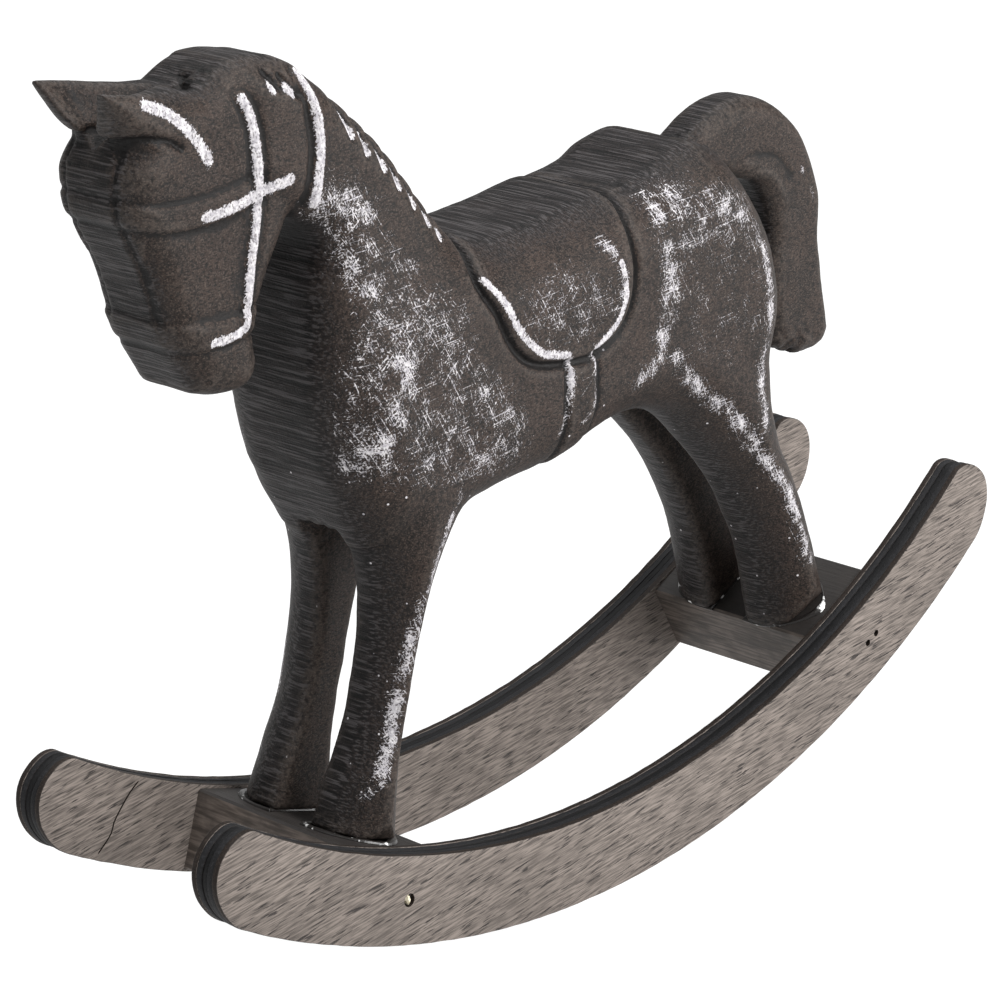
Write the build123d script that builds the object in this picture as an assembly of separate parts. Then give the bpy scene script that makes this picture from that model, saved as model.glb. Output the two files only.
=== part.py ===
"""Carved wooden rocking horse, a small ornament on two plywood rockers.

The horse faces -Y, its left side is +X and +Z is up.  Both rockers are arcs of one circle.
Side views are drawn in (y, z) with y = 0 under the circle's centre and z = 0 on the floor.
The finished toy is then rocked to where it balances, with the bottom centre of the whole as its origin.
"""
import os
from math import asin, atan2, cos, degrees, radians, sin, sqrt, tan

from build123d import *

# Rockers: two arcs of five-ply plywood
ROCKER_RADIUS = 160.0
ROCKER_DEPTH = 15.0
PLY_THICKNESS = 1.2
PLY_NAMES = ("inner_face_ply", "inner_cross_ply", "core_ply", "outer_cross_ply", "outer_face_ply")
FRONT_END_ANGLE = 30.6
REAR_END_ANGLE = 42.4
END_BULGE = 5.0
END_RUN_IN = 5.2
TIP_DEPTH_SHARE = 0.45

# Horse: carved from one board, with a roundover along its outline
BOARD_THICKNESS = 34.0
BODY_ROUND = 9.0
HEAD_THICKNESS = 19.0
HEAD_ROUND = 4.0
NECK_BASE_THICKNESS = 31.0
LEG_SLOT = 7.4
LEG_ROUND = 3.0
TAIL_THICKNESS = 10.0
TAIL_ROUND = 3.0
EAR_SLOT_WIDTH = 9.0
EAR_SLOT_DEPTH = 11.0
EAR_SLOT_LENGTH = 28.0
EAR_SLOT_TOP = (0, -82, 149)
EAR_SLOT_TILT = 6.0
SADDLE_RELIEF = 0.6
BARREL_MIDDLE = 94.0
BARREL_HEIGHT = 42.0
SOLE_ALLOWANCE = 2.0
SOLE_CUT_DEPTH = 12.0

# Cross blocks: between the rockers and under the feet
BLOCK_SIDE_GAP = 1.0
BLOCK_LENGTH = 18.4
BLOCK_TOP_DROP = 0.5
BLOCK_FLOOR_GAP = 0.8
BLOCK_EDGE = 0.4
FRONT_BLOCK_Y = -39.9
REAR_BLOCK_Y = 71.2
FRONT_FOOT_Y = -39.3
REAR_FOOT_Y = 69.3
HIND_TOE_SET_BACK = 0.6

# Glue, brads, nails and filler
GLUE_THICKNESS = 0.3
GLUE_SQUEEZE = 0.6
FOOT_LENGTH = 14.0
BRAD_DIAMETER = 1.2
BRAD_GRIP = 5.0
BRAD_SINK = 0.8
BRAD_SPREAD = 2.6
FILLER_DIAMETER = 2.2
NAIL_DIAMETER = 1.6
NAIL_LENGTH = 25.0
NAIL_HEAD_DIAMETER = 3.2
NAIL_HEAD_THICKNESS = 0.8
PIN_CLEARANCE = 0.02

# Weights, which set the angle that the toy rests at
WOOD_DENSITY = 0.65
STEEL_DENSITY = 7.8
STEEL_NODES = ("foot_nails", "rocker_brads")

# Worked out from the sizes above
BLOCK_WIDTH = BOARD_THICKNESS + 2 * BLOCK_SIDE_GAP
ROCKER_THICKNESS = PLY_THICKNESS * len(PLY_NAMES)
OUTER_FACE_X = BLOCK_WIDTH / 2 + ROCKER_THICKNESS
BRAD_LENGTH = ROCKER_THICKNESS - BRAD_SINK + BRAD_GRIP
DECK_RADIUS = ROCKER_RADIUS - ROCKER_DEPTH + BLOCK_TOP_DROP
BLOCK_THICKNESS = ROCKER_DEPTH - BLOCK_TOP_DROP - BLOCK_FLOOR_GAP
LEG_THICKNESS = (BOARD_THICKNESS - LEG_SLOT) / 2
LEG_X = (LEG_SLOT + LEG_THICKNESS) / 2
SIDES = (1, -1)


def curve(*points):
    """A smooth run of an outline."""
    return Spline(*points)


def straight(*points):
    """A run of straight lines."""
    return Polyline(*points)


def rocker_point(radius, angle):
    """The (y, z) of a point at this radius of the rockers' circle, angle in degrees from straight down."""
    return (radius * sin(radians(angle)), ROCKER_RADIUS - radius * cos(radians(angle)))


def deck_angle(block_y):
    """The slope of a block's top, in degrees."""
    return degrees(asin(block_y / DECK_RADIUS))


def deck_height(block_y, y):
    """The height of a block's top surface at y."""
    centre = ROCKER_RADIUS - sqrt(DECK_RADIUS**2 - block_y**2)
    return centre + (y - block_y) * tan(radians(deck_angle(block_y)))


def deck_place(block_y, y):
    """A placement on a block's top at y, with its local Z square to that top."""
    return Location((0, y, deck_height(block_y, y)), (deck_angle(block_y), 0, 0))


def below_deck(block_y, y):
    """An outline point just under a block's top, for a leg that is cut off at its sole."""
    return (y, deck_height(block_y, y) - SOLE_ALLOWANCE)


def torso_outline():
    return (
        curve((-44.8, 98), (-45.3, 92.5), (-43.8, 82.8), (-40.5, 73.7), (-36.5, 68)),
        straight((-36.5, 68), (-14, 70.5)),
        curve((-14, 70.5), (-7.5, 71.5), (2, 72.6), (9, 74.3), (20, 77), (33, 76.5)),
        straight((33, 76.5), (57, 72)),
        curve((57, 72), (58.9, 80.5), (61, 91), (58.3, 102.5), (52.9, 111.2), (46, 118.5), (39.6, 121.2)),
        curve((39.6, 121.2), (34.1, 119.9), (28, 117.2), (17, 115.6), (5, 113.6), (-12, 112)),
        curve((-12, 112), (-26, 112), (-38, 107), (-44.8, 98)),
    )


def neck_outline():
    return (
        curve((-60, 148.2), (-54, 148), (-48, 146.6), (-35.6, 136.8), (-27.3, 128.6), (-18.5, 117.4), (-12, 109)),
        straight((-12, 109), (-12, 92), (-45.1, 92)),
        curve((-45.1, 92), (-45.5, 101), (-45.2, 110), (-43.8, 118.5), (-49.5, 123.5)),
        straight((-49.5, 123.5), (-60, 130), (-60, 148.2)),
    )


def neck_front_outline():
    """The neck's right half from the front, in (x, z): narrow at the head, widening to the shoulder."""
    base = NECK_BASE_THICKNESS / 2
    top = HEAD_THICKNESS / 2
    flare = base - top
    return (
        straight((0, 85), (base, 85)),
        curve((base, 85), (top + 0.85 * flare, 98), (top + 0.5 * flare, 112), (top + 0.1 * flare, 126), (top, 150)),
        straight((top, 150), (0, 150), (0, 85)),
    )


def head_outline():
    """Crest, ear, face, chin and jaw."""
    return (
        curve((-50, 145.6), (-55, 147.9), (-61, 148), (-66.6, 145.2)),
        curve((-66.6, 145.2), (-76, 146), (-86, 147.4)),
        curve((-86, 147.4), (-83.6, 142.5), (-80.6, 138.6)),
        curve((-80.6, 138.6), (-82.3, 133.5), (-82.2, 128.5), (-80.3, 124.5), (-77.2, 118), (-73.8, 108), (-68.5, 99)),
        curve((-68.5, 99), (-64, 97.9), (-59, 98.2), (-56.4, 101.5), (-56.8, 107), (-54.4, 114), (-49.5, 123.5)),
        curve((-49.5, 123.5), (-46, 134), (-50, 145.6)),
    )


def tail_outline():
    return (
        curve((44, 118), (50, 121.8), (57.4, 124.4), (66, 123.4), (75.5, 116.5), (81, 105.5), (81.7, 94.5), (84.9, 79)),
        curve((84.9, 79), (82.8, 76.2), (77, 75.4), (69.4, 78)),
        curve((69.4, 78), (67.4, 90), (68, 100), (64, 108.5), (55, 112)),
        straight((55, 112), (44, 110), (44, 118)),
    )


def front_leg_outline():
    toe = below_deck(FRONT_BLOCK_Y, FRONT_FOOT_Y - FOOT_LENGTH / 2)
    heel = below_deck(FRONT_BLOCK_Y, FRONT_FOOT_Y + FOOT_LENGTH / 2)
    return (
        curve((-38.5, 75), (-35.6, 66), (-34.3, 59), (-34.8, 50), (-37.8, 37.8), (-41.5, 30), toe),
        straight(toe, heel),
        curve(heel, (-31.2, 30), (-28.8, 41.5), (-24.8, 55.6), (-20.4, 65), (-13, 75)),
        straight((-13, 75), (-13, 88), (-38.5, 88), (-38.5, 75)),
    )


def hind_leg_outline():
    toe = below_deck(REAR_BLOCK_Y, REAR_FOOT_Y - FOOT_LENGTH / 2 + HIND_TOE_SET_BACK)
    heel = below_deck(REAR_BLOCK_Y, REAR_FOOT_Y + FOOT_LENGTH / 2)
    return (
        curve((24, 80.5), (33.5, 75), (42, 67.5), (50, 58.8), (57, 47), (60.4, 37), toe),
        straight(toe, heel),
        curve(heel, (72.2, 44.5), (67.3, 56.5), (61.8, 67), (58.6, 80)),
        straight((58.6, 80), (50, 95), (24, 95), (24, 80.5)),
    )


def saddle_outline():
    """Seat and flap, with the rear edge of the flap running up over the back."""
    return (
        curve((-15, 114), (-14.5, 107.5), (-8.5, 97), (-2, 92.6), (6, 92.2)),
        curve((6, 92.2), (11.5, 92.9), (15.8, 95.5), (17.8, 102), (20.5, 122)),
        straight((20.5, 122), (-15, 122), (-15, 114)),
    )


def girth_outline():
    return (straight((2.8, 94), (2.8, 65), (10.2, 65), (10.2, 94), (2.8, 94)),)


def side_face(edges):
    """A closed side outline as a face in the middle plane."""
    return Plane.YZ * make_face(edges)


def rounded_plate(face, thickness, round_over):
    """A plate about the middle plane, with both rims rounded over."""
    plate = extrude(face, amount=thickness / 2, both=True)
    rims = plate.edges().group_by(Axis.X)
    return fillet(rims[0] + rims[-1], round_over)


def make_torso():
    """The barrel, with the saddle and girth standing slightly proud of it as a swollen copy of its surface."""
    barrel = rounded_plate(side_face(torso_outline()), BOARD_THICKNESS, BODY_ROUND)
    middle = Pos(0, 0, BARREL_MIDDLE)
    swell_x = 1 + 2 * SADDLE_RELIEF / BOARD_THICKNESS
    swell_z = 1 + 2 * SADDLE_RELIEF / BARREL_HEIGHT
    skin = middle * scale(middle.inverse() * barrel, by=(swell_x, 1, swell_z))
    for edges in (saddle_outline(), girth_outline()):
        pattern = extrude(side_face(edges), amount=BOARD_THICKNESS, both=True)
        barrel += skin & pattern
    return barrel


def make_neck():
    """The neck's side view cut to its front view."""
    half = make_face(neck_front_outline())
    front_view = Plane.XZ * (half + mirror(half, Plane.YZ))
    flare = extrude(front_view, amount=ROCKER_RADIUS, both=True)
    return extrude(side_face(neck_outline()), amount=BOARD_THICKNESS / 2, both=True) & flare


def make_head():
    """Head and ears, with a tapered slot between the ears."""
    head = rounded_plate(side_face(head_outline()), HEAD_THICKNESS, HEAD_ROUND)
    half = EAR_SLOT_WIDTH / 2
    slot_front = Plane.XZ * make_face(Polyline((-half, 0), (half, 0), (0, -EAR_SLOT_DEPTH), (-half, 0)))
    slot = extrude(slot_front, amount=EAR_SLOT_LENGTH / 2, both=True)
    return head - Location(EAR_SLOT_TOP, (EAR_SLOT_TILT, 0, 0)) * slot


def make_legs():
    """Four legs: a front and a hind outline, each on both sides of the slot."""
    legs = []
    for edges in (front_leg_outline(), hind_leg_outline()):
        leg = rounded_plate(side_face(edges), LEG_THICKNESS, LEG_ROUND)
        legs += [Pos(side * LEG_X, 0, 0) * leg for side in SIDES]
    return legs


def foot_places():
    """The middle of each foot on its block: block position and placement."""
    for block_y, foot_y in ((FRONT_BLOCK_Y, FRONT_FOOT_Y), (REAR_BLOCK_Y, REAR_FOOT_Y)):
        for side in SIDES:
            yield block_y, deck_place(block_y, foot_y) * Pos(side * LEG_X, 0, 0)


def make_horse():
    """One carving, cut flat at its soles to stand on the glue, with a hole in each foot."""
    horse = make_torso() + make_neck() + make_head()
    horse += rounded_plate(side_face(tail_outline()), TAIL_THICKNESS, TAIL_ROUND)
    for leg in make_legs():
        horse += leg
    below = (Align.CENTER, Align.CENTER, Align.MAX)
    for block_y in (FRONT_BLOCK_Y, REAR_BLOCK_Y):
        waste = Pos(0, 0, GLUE_THICKNESS) * Box(2 * BLOCK_WIDTH, 2 * BLOCK_LENGTH, SOLE_CUT_DEPTH, align=below)
        horse -= deck_place(block_y, block_y) * waste
    for hole in nail_holes():
        horse -= hole
    return horse


def make_nail(clearance=0.0):
    """A nail with its head at the bottom, standing on the local origin at the block's top."""
    up = (Align.CENTER, Align.CENTER, Align.MIN)
    shank = Cylinder(NAIL_DIAMETER / 2 + clearance, NAIL_LENGTH, align=up)
    head = Cylinder(NAIL_HEAD_DIAMETER / 2 + clearance, NAIL_HEAD_THICKNESS, align=up)
    return Pos(0, 0, -BLOCK_THICKNESS) * (shank + head)


def nail_holes():
    return [place * make_nail(PIN_CLEARANCE) for block_y, place in foot_places()]


def make_glue():
    """A thin pad of glue under each foot, squeezed out a little all round."""
    width = LEG_THICKNESS + 2 * GLUE_SQUEEZE
    length = FOOT_LENGTH + 2 * GLUE_SQUEEZE
    up = (Align.CENTER, Align.CENTER, Align.MIN)
    pad = extrude(RectangleRounded(width, length, LEG_ROUND), amount=GLUE_THICKNESS)
    pad -= Cylinder(NAIL_DIAMETER / 2 + PIN_CLEARANCE, GLUE_THICKNESS, align=up)
    return [place * pad for block_y, place in foot_places()]


def brad_places():
    """Where each brad enters a rocker's outer face, with local Z pointing outwards."""
    middle = DECK_RADIUS + BLOCK_THICKNESS / 2
    spread = degrees(BRAD_SPREAD / 2 / middle)
    front = deck_angle(FRONT_BLOCK_Y)
    rear = deck_angle(REAR_BLOCK_Y)
    for side in SIDES:
        for angle in (front, rear - spread, rear + spread):
            y, z = rocker_point(middle, angle)
            yield angle == front, Location((side * OUTER_FACE_X, y, z), (0, side * 90, 0))


def make_brad(clearance=0.0):
    down = (Align.CENTER, Align.CENTER, Align.MAX)
    return Pos(0, 0, -BRAD_SINK) * Cylinder(BRAD_DIAMETER / 2 + clearance, BRAD_LENGTH, align=down)


def make_filler(clearance=0.0):
    down = (Align.CENTER, Align.CENTER, Align.MAX)
    return Cylinder(FILLER_DIAMETER / 2 + clearance, BRAD_SINK, align=down)


def brad_holes():
    """Each brad's hole, open to the rocker's face, and wider at its mouth where it is filled."""
    down = (Align.CENTER, Align.CENTER, Align.MAX)
    mouth = Cylinder(BRAD_DIAMETER / 2 + PIN_CLEARANCE, BRAD_SINK, align=down)
    holes = []
    for filled, place in brad_places():
        holes.append(place * (make_brad(PIN_CLEARANCE) + mouth))
        if filled:
            holes.append(place * make_filler(PIN_CLEARANCE))
    return holes


def make_block(block_y):
    """A cross block with softened edges, its top on the deck and its nail and brad holes cut."""
    down = (Align.CENTER, Align.CENTER, Align.MAX)
    block = Box(BLOCK_WIDTH, BLOCK_LENGTH, BLOCK_THICKNESS, align=down)
    block = chamfer(block.edges().filter_by(Axis.X), BLOCK_EDGE)
    block = deck_place(block_y, block_y) * block
    for hole in nail_holes() + brad_holes():
        block -= hole
    return block


def rocker_end(angle, side):
    """One end of a rocker, from its top corner round the tip to the bottom arc; side is -1 at the front."""
    top_radius = ROCKER_RADIUS - ROCKER_DEPTH
    bulge = degrees(END_BULGE / ROCKER_RADIUS)
    run_in = degrees(END_RUN_IN / ROCKER_RADIUS)
    top = rocker_point(top_radius, side * angle)
    tip = rocker_point(top_radius + TIP_DEPTH_SHARE * ROCKER_DEPTH, side * (angle + bulge))
    bottom = rocker_point(ROCKER_RADIUS, side * (angle - run_in))
    return top, tip, bottom


def make_rocker_face():
    """The side view of a rocker: two arcs about one centre, closed by a rounded end at each side."""
    top_radius = ROCKER_RADIUS - ROCKER_DEPTH
    front_top, front_tip, front_bottom = rocker_end(FRONT_END_ANGLE, -1)
    rear_top, rear_tip, rear_bottom = rocker_end(REAR_END_ANGLE, 1)
    top_arc = ThreePointArc(front_top, rocker_point(top_radius, 0), rear_top)
    bottom_arc = ThreePointArc(front_bottom, rocker_point(ROCKER_RADIUS, 0), rear_bottom)
    rear_end = Spline(rear_top, rear_tip, rear_bottom, tangents=(top_arc % 1, -(bottom_arc % 1)))
    front_end = Spline(front_top, front_tip, front_bottom, tangents=(-(top_arc % 0), bottom_arc % 0))
    return side_face((top_arc, rear_end, bottom_arc, front_end))


def make_plies(side):
    """The five plies of one rocker by name, from its inner face outwards."""
    face = make_rocker_face()
    holes = brad_holes()
    plies = {}
    for number, name in enumerate(PLY_NAMES):
        inner_x = BLOCK_WIDTH / 2 + number * PLY_THICKNESS
        ply = Pos(inner_x, 0, 0) * extrude(face, amount=PLY_THICKNESS, dir=(1, 0, 0))
        if side < 0:
            ply = mirror(ply, Plane.YZ)
        for hole in holes:
            ply -= hole
        plies[name] = ply
    return plies


def make_nodes():
    """Every node of the toy by name."""
    nodes = {"horse": make_horse()}
    for side, side_name in ((1, "left"), (-1, "right")):
        for ply_name, ply in make_plies(side).items():
            nodes[f"{side_name}_rocker_{ply_name}"] = ply
    nodes["front_cross_block"] = make_block(FRONT_BLOCK_Y)
    nodes["rear_cross_block"] = make_block(REAR_BLOCK_Y)
    nodes["foot_glue"] = Compound(make_glue())
    nodes["foot_nails"] = Compound([place * make_nail() for block_y, place in foot_places()])
    nodes["rocker_brads"] = Compound([place * make_brad() for filled, place in brad_places()])
    nodes["brad_hole_filler"] = Compound([place * make_filler() for filled, place in brad_places() if filled])
    return nodes


def density(name):
    """The density of a node's material, in grams per cubic centimetre."""
    return STEEL_DENSITY if name in STEEL_NODES else WOOD_DENSITY


def balance_angle(nodes):
    """How far the toy rocks before its weight hangs under the centre of the rockers' circle, in degrees."""
    total = 0
    moment = Vector(0, 0, 0)
    for name, node in nodes.items():
        for solid in node.solids():
            mass = solid.volume * density(name)
            total += mass
            moment += solid.center(CenterOf.MASS) * mass
    middle = moment / total
    return -degrees(atan2(middle.Y, ROCKER_RADIUS - middle.Z))


def settle(nodes):
    """The nodes as the toy comes to rest, with the bottom centre of the whole at the origin."""
    centre = Pos(0, 0, ROCKER_RADIUS)
    rocked = centre * Rot(balance_angle(nodes), 0, 0) * centre.inverse()
    settled = {name: rocked * node for name, node in nodes.items()}
    boxes = [node.bounding_box() for node in settled.values()]
    middle_y = (min(box.min.Y for box in boxes) + max(box.max.Y for box in boxes)) / 2
    return {name: Pos(0, -middle_y, 0) * node for name, node in settled.items()}


def main():
    os.makedirs("parts", exist_ok=True)
    for name, node in settle(make_nodes()).items():
        export_step(node, f"parts/{name}.step")


main()
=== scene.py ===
"""Carved rocking horse on plywood rockers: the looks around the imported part, in metres, in its own frame."""

from math import cos, pi, radians, sin, sqrt

import bmesh
import bpy
import numpy as np
import openvdb
from mathutils import Matrix, Vector
from mathutils.geometry import delaunay_2d_cdt


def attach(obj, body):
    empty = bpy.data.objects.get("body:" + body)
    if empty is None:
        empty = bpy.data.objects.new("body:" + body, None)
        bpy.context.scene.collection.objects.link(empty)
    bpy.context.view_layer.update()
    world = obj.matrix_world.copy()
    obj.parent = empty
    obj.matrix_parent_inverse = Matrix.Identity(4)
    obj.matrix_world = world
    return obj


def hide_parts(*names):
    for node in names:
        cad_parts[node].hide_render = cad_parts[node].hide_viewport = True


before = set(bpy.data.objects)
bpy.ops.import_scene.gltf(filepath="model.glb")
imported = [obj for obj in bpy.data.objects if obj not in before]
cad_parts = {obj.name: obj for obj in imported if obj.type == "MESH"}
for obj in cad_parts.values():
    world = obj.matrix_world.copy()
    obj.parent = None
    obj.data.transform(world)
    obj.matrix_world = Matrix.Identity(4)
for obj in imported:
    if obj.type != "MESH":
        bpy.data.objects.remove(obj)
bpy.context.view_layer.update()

# The carver's drawing is in millimetres, with y = 0 under the rockers' centre and z = 0 on the floor.
# SETTLE then rolls the toy to where it balances.
MM = 0.001
ROCKER_RADIUS = 160.0
ROCKER_DEPTH = 15.0
BALANCE = radians(2.78542)
BALANCE_SHIFT = -6.67949
SETTLE = (
    Matrix.Translation((0, BALANCE_SHIFT, ROCKER_RADIUS))
    @ Matrix.Rotation(-BALANCE, 4, "X")
    @ Matrix.Translation((0, 0, -ROCKER_RADIUS))
)

# Horse: a board with its outline rounded over, then carved. Relief is how far a detail stands out.
BOARD_HALF = 17.0
BOARD_ROUND = 10.5
HEAD_HALF = 9.5
HEAD_ROUND = 5.2
TAIL_HALF = 5.0
TAIL_ROUND = 3.2
LEG_GAP_HALF = 3.7
SADDLE_RELIEF = 0.55
SADDLE_GROOVE = 1.0
GIRTH_RELIEF = 0.45
BAND_RELIEF = 0.28
PANEL_DEPTH = 0.25
PANEL_EDGE_DEPTH = 0.2
CREASE_DEPTH = 0.75
EYE_RELIEF = 0.75
MANE_CUT_DEPTH = 0.95
MANE_CUT_WIDTH = 1.25
EAR_SLOT_FLOOR = 136.7
EAR_SLOT_SLOPE = 0.70
# The cosine of that slope, which turns the slot's measure into a true distance
EAR_SLOT_TRUTH = 0.82
FACE_EDGE_X = 5.5
VOXEL = 0.45
MOST_TRIANGLES = 190000

# Cross blocks and feet
DECK_RADIUS = 145.5
FRONT_BLOCK_Y = -39.9
REAR_BLOCK_Y = 71.2
FRONT_FOOT_Y = -39.3
REAR_FOOT_Y = 69.3
FOOT_LENGTH = 14.0
GLUE_THICKNESS = 0.3
SOLE_MIDDLE_X = 10.0
BEAD_RADIUS = 0.55
BEAD_SWELL = 0.35

# Rockers: five plies each, from the inside out, with each one's two bevels and how far its edge is worn back
PLIES = {
    "inner_face_ply": ((0.30, 0.14), 0.02),
    "inner_cross_ply": ((0.12, 0.30), 0.10),
    "core_ply": ((0.34, 0.10), 0.22),
    "outer_cross_ply": ((0.10, 0.12), 0.08),
    "outer_face_ply": ((0.10, 0.30), 0.02),
}
BLOCK_HALF_WIDTH = 18.0
PLY_THICKNESS = 1.2
FRONT_END_ANGLE = 30.6
REAR_END_ANGLE = 42.4
END_BULGE_ANGLE = 1.79
END_RUN_IN_ANGLE = 1.86
TIP_DEPTH_SHARE = 0.45
FRONT_HOLE_RADIUS = 1.15
REAR_HOLE_RADIUS = 0.62
HOLE_DEPTH = 0.8
CRACK_WIDTH = 0.3
FILLER_HALF_WIDTH = 0.55
FILLER_HALF_HEIGHT = 0.95
FILLER_BASE_X = 23.3
FILLER_LENGTH = 0.66


# ---------------------------------------------------------------- drawing helpers

def through(*points, steps=7):
    """A smooth run through the points, as an array of (y, z)."""
    before = 2 * np.array(points[0]) - points[1]
    after = 2 * np.array(points[-1]) - points[-2]
    p = np.array([before, *points, after], float)
    run = []
    for a, b, c, d in zip(p[:-3], p[1:-2], p[2:-1], p[3:]):
        for t in np.arange(steps) / steps:
            bend = (2 * a - 5 * b + 4 * c - d) * t**2 + (3 * b - a - 3 * c + d) * t**3
            run.append(0.5 * (2 * b + (c - a) * t + bend))
    return np.array(run + [p[-2]])


def outline(*runs):
    """Runs of points joined into one closed outline."""
    return np.vstack([np.array(run, float) for run in runs])


def path_distance(points, y, z):
    """The distance in mm from each (y, z) to an open path."""
    best = np.full(np.broadcast(y, z).shape, 1e6)
    for (y0, z0), (y1, z1) in zip(points[:-1], points[1:]):
        dy, dz = y1 - y0, z1 - z0
        along = np.clip(((y - y0) * dy + (z - z0) * dz) / (dy * dy + dz * dz + 1e-9), 0, 1)
        best = np.minimum(best, (y - y0 - along * dy) ** 2 + (z - z0 - along * dz) ** 2)
    return np.sqrt(best)


def area_distance(points, y, z):
    """The distance in mm from each (y, z) to a closed outline, negative inside it."""
    closed = np.vstack([points, points[:1]])
    inside = np.zeros(np.broadcast(y, z).shape, bool)
    for (y0, z0), (y1, z1) in zip(closed[:-1], closed[1:]):
        inside ^= ((z0 > z) != (z1 > z)) & (y < (y1 - y0) * (z - z0) / (z1 - z0 + 1e-9) + y0)
    distance = path_distance(closed, y, z)
    return np.where(inside, -distance, distance)


def melt(a, b, reach):
    """The union of two shapes, with a fillet of about this reach."""
    near = np.maximum(reach - np.abs(a - b), 0) / reach
    return np.minimum(a, b) - near * near * reach / 4


def cut_away(a, b, reach):
    """One shape less another, with the edge softened over this reach."""
    return -melt(-a, b, reach)


def hump(distance, width):
    """1 on a line, falling away smoothly over about half this width."""
    return np.exp(-((2 * distance / width) ** 2))


def inside_of(distance, softness=0.3):
    """1 inside an area and 0 outside it, with a soft edge."""
    return 0.5 - 0.5 * np.tanh(distance / softness)


def soft_noise(shape, cell, seed):
    """Smooth random values between -1 and 1 that change over this many voxels."""
    values = np.random.default_rng(seed).uniform(-1, 1,
                                                 [int(n / cell) + 3 for n in shape]).astype(np.float32)
    for axis, count in enumerate(shape):
        place = np.arange(count) / cell
        low = place.astype(int)
        share = place - low
        share = share * share * (3 - 2 * share)
        share = share.reshape([-1 if i == axis else 1 for i in range(3)]).astype(np.float32)
        values = np.take(values, low, axis) * (1 - share) + np.take(values, low + 1, axis) * share
    return values


def blurred(values, reach):
    """A box blur over this many voxels to each side."""
    for axis in range(3):
        margin = [(reach + 1, reach) if i == axis else (0, 0) for i in range(3)]
        sums = np.cumsum(np.pad(values, margin, "edge"), axis)
        count = values.shape[axis]
        high = np.take(sums, np.arange(count) + 2 * reach + 1, axis)
        values = (high - np.take(sums, np.arange(count), axis)) / (2 * reach + 1)
    return values


# ---------------------------------------------------------------- the carver's outlines

TORSO = outline(
    through((-44.8, 98), (-45.3, 92.5), (-43.8, 82.8), (-40.5, 73.7), (-36.5, 68)),
    [(-14, 70.5)],
    through((-14, 70.5), (-7.5, 71.5), (2, 72.6), (9, 74.3), (20, 77), (33, 76.5)),
    [(57, 72)],
    through((57, 72), (58.9, 80.5), (61, 91), (58.3, 102.5), (52.9, 111.2), (46, 118.5), (39.6, 121.2)),
    through((39.6, 121.2), (34.1, 119.9), (28, 117.2), (17, 115.6), (5, 113.6), (-12, 112)),
    through((-12, 112), (-26, 112), (-38, 107), (-44.8, 98)),
)
NECK = outline(
    through((-60, 148.2), (-54, 148), (-48, 146.6), (-35.6, 136.8), (-27.3, 128.6), (-18.5, 117.4),
            (-10, 107)),
    [(-10, 80), (-41, 80)],
    through((-45.1, 92), (-45.5, 101), (-45.2, 110), (-43.8, 118.5), (-49.5, 123.5)),
    [(-60, 130)],
)
HEAD = outline(
    through((-50, 145.6), (-55, 147.9), (-61, 148), (-66.6, 145.2)),
    through((-66.6, 145.2), (-76, 146), (-86, 147.4)),
    through((-86, 147.4), (-83.6, 142.5), (-80.6, 138.6)),
    through((-80.6, 138.6), (-82.3, 133.5), (-82.2, 128.5), (-80.3, 124.5), (-77.2, 118), (-73.8, 108),
            (-68.5, 99)),
    through((-68.5, 99), (-64, 97.9), (-59, 98.2), (-56.4, 101.5), (-56.8, 107), (-54.4, 114),
            (-49.5, 123.5)),
    through((-49.5, 123.5), (-46, 134), (-50, 145.6)),
)
TAIL = outline(
    through((44, 118), (50, 121.8), (57.4, 124.4), (66, 123.4), (75.5, 116.5), (81, 105.5), (81.7, 94.5),
            (84.9, 79)),
    through((84.9, 79), (82.8, 76.2), (77, 75.4), (69.4, 78)),
    through((69.4, 78), (67.4, 90), (68, 100), (64, 108.5), (55, 112)),
    [(44, 110)],
)
FRONT_LEG = outline(
    through((-40.5, 80), (-38.5, 75), (-35.6, 66), (-34.3, 59), (-34.8, 50), (-37.8, 37.8), (-41.5, 30),
            (-46.3, 19)),
    through((-32.3, 14), (-31.2, 30), (-28.8, 41.5), (-24.8, 55.6), (-20.4, 65), (-13, 75)),
    [(-13, 92), (-38.5, 92)],
)
HIND_LEG = outline(
    through((24, 80.5), (33.5, 75), (42, 67.5), (50, 58.8), (57, 47), (60.4, 37), (62.9, 27)),
    through((76.3, 32), (72.2, 44.5), (67.3, 56.5), (61.8, 67), (58.6, 80)),
    [(50, 95), (24, 95)],
)
LEG_GAP = outline([(-60, 10), (-60, 69), (-30, 69), (-20, 74), (10, 70), (30, 76.5), (50, 76), (66, 69),
                   (90, 60), (90, 10)])
SADDLE = outline(
    through((-15, 122), (-15.5, 113), (-16.5, 108), (-13.6, 103), (-11, 98.3), (-8, 95), (-4.4, 93.2),
            (1.4, 92.2), (6, 92)),
    through((6, 92), (11, 93.3), (15, 96), (17, 100.1), (17.4, 104.2), (17, 108.4), (17.3, 112),
            (18.4, 116), (20.5, 124)),
)
GIRTH = outline([(2.2, 93), (2.4, 60), (8.6, 60), (8.6, 93)])
EYE_CREASE = through((-88, 138.9), (-84.6, 138.3), (-81.4, 139.5), (-78.7, 139.9), (-75.3, 139.3),
                     (-72.6, 137.8))
UPPER_BAND = outline(
    through((-90, 132.4), (-82.6, 130.7), (-76.6, 129.6), (-70.3, 129.4), (-64.1, 129.9), (-57, 131.4)),
    through((-57, 127.4), (-63, 126.2), (-68.4, 125.6), (-73.2, 125.6), (-79.3, 126.4), (-90, 128.6)),
)
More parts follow.
